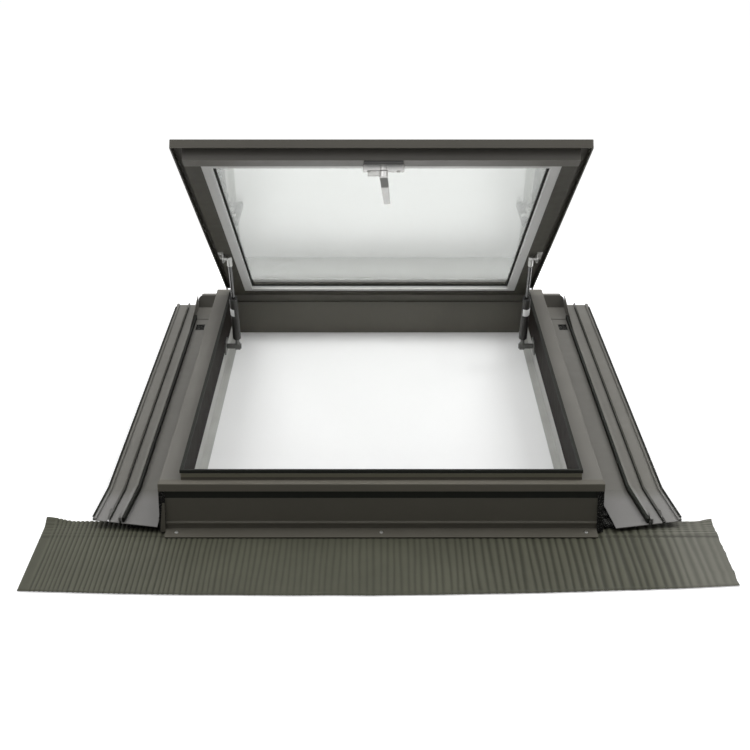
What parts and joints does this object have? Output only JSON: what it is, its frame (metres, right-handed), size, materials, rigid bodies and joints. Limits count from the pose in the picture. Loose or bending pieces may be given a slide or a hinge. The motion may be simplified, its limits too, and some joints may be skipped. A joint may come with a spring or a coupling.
{
  "type": "roof skylight",
  "caption": "Top-hinged roof skylight: dark metal curb with pleated apron and side flashing, and a double glazed lid held open by gas struts, with a turn latch.",
  "frame": {"origin": "middle of the roof opening, on the roof plane under the curb's foot strips", "axes": "+X to the right seen from the eaves, +Y up the slope towards the hinges, +Z out of the roof"},
  "size_m": [1.188, 1.4854, 0.6694],
  "materials": {
    "frame_paint": "satin powder coat",
    "flashing_paint": "satin coil coat",
    "apron_paint": "matt coil coat",
    "bare_aluminium": "satin",
    "seal_rubber": "matt",
    "clear_glass": "polished",
    "bright_steel": "satin",
    "latch_metal": "satin",
    "black_plastic": "matt",
    "grey_plastic": "satin",
    "dark_foam": "open cells",
    "strut_paint": "satin"
  },
  "bodies": {
    "frame": {"curb_front": "frame_paint", "curb_rear": "frame_paint", "curb_left": "frame_paint", "curb_right": "frame_paint", "foot_left": "bare_aluminium", "foot_right": "bare_aluminium", "corner_brackets": "frame_paint", "rim_seal": "seal_rubber", "latch_keeper": "bright_steel", "front_cover": "frame_paint", "cover_screws": "bright_steel", "corner_foam": "dark_foam", "apron": "apron_paint", "flashing_left": "flashing_paint", "flashing_right": "flashing_paint", "flashing_head": "flashing_paint", "hinge_frame_leaves": "frame_paint", "hinge_pins": "bright_steel", "strut_frame_brackets": "bright_steel", "strut_pins": "bright_steel"},
    "lid": {"lid_cover": "frame_paint", "sash_front": "frame_paint", "sash_rear": "frame_paint", "sash_left": "frame_paint", "sash_right": "frame_paint", "outer_pane": "clear_glass", "inner_pane": "clear_glass", "glass_spacer": "bare_aluminium", "outer_gasket": "seal_rubber", "inner_gasket": "seal_rubber", "bead_front": "bare_aluminium", "bead_rear": "bare_aluminium", "bead_left": "bare_aluminium", "bead_right": "bare_aluminium", "hinge_lid_leaves": "frame_paint", "strut_lid_brackets": "bright_steel", "latch_pad": "black_plastic", "latch_plate": "latch_metal", "latch_screws": "bright_steel"},
    "handle": {"latch_hub": "latch_metal", "latch_pawl": "latch_metal", "latch_collar": "grey_plastic", "latch_handle": "latch_metal"},
    "tube_left": {"strut_eye_left": "bright_steel", "strut_tube_left": "strut_paint", "strut_cap_left": "black_plastic"},
    "rod_left": {"strut_rod_left": "bright_steel", "strut_fitting_left": "bright_steel"},
    "tube_right": {"strut_eye_right": "bright_steel", "strut_tube_right": "strut_paint", "strut_cap_right": "black_plastic"},
    "rod_right": {"strut_rod_right": "bright_steel", "strut_fitting_right": "bright_steel"}
  },
  "joints": [
    {"name": "lid_hinge", "type": "hinge", "parent": "frame", "child": "lid", "pos_m": [0, 0.57, 0.107], "axis": [1, 0, 0], "range_deg": [0, 29.33]},
    {"name": "latch_turn", "type": "hinge", "parent": "lid", "child": "handle", "pos_m": [0.004, -0.39582, 0.60917], "axis": [0, 0.4898, 0.8718], "range_deg": [0, 95]},
    {"name": "strut_pivot_left", "type": "hinge", "parent": "frame", "child": "tube_left", "pos_m": [-0.322, 0.331, 0.04], "axis": [1, 0, 0], "range_deg": [0, 48.69]},
    {"name": "strut_slide_left", "type": "slide", "parent": "tube_left", "child": "rod_left", "axis": [0, -0.5085, 0.8611], "range_m": [-0.09877, 0]},
    {"name": "strut_pivot_right", "type": "hinge", "parent": "frame", "child": "tube_right", "pos_m": [0.322, 0.331, 0.04], "axis": [1, 0, 0], "range_deg": [0, 48.69]},
    {"name": "strut_slide_right", "type": "slide", "parent": "tube_right", "child": "rod_right", "axis": [0, -0.5085, 0.8611], "range_m": [-0.09877, 0]}
  ],
  "couplings": [
    {"joint": "strut_pivot_left", "follows": "lid_hinge", "ratio": 1.6593},
    {"joint": "strut_slide_left", "follows": "lid_hinge", "m_per_rad": -0.1929},
    {"joint": "strut_pivot_right", "follows": "lid_hinge", "ratio": 1.6593},
    {"joint": "strut_slide_right", "follows": "lid_hinge", "m_per_rad": -0.1929}
  ]
}
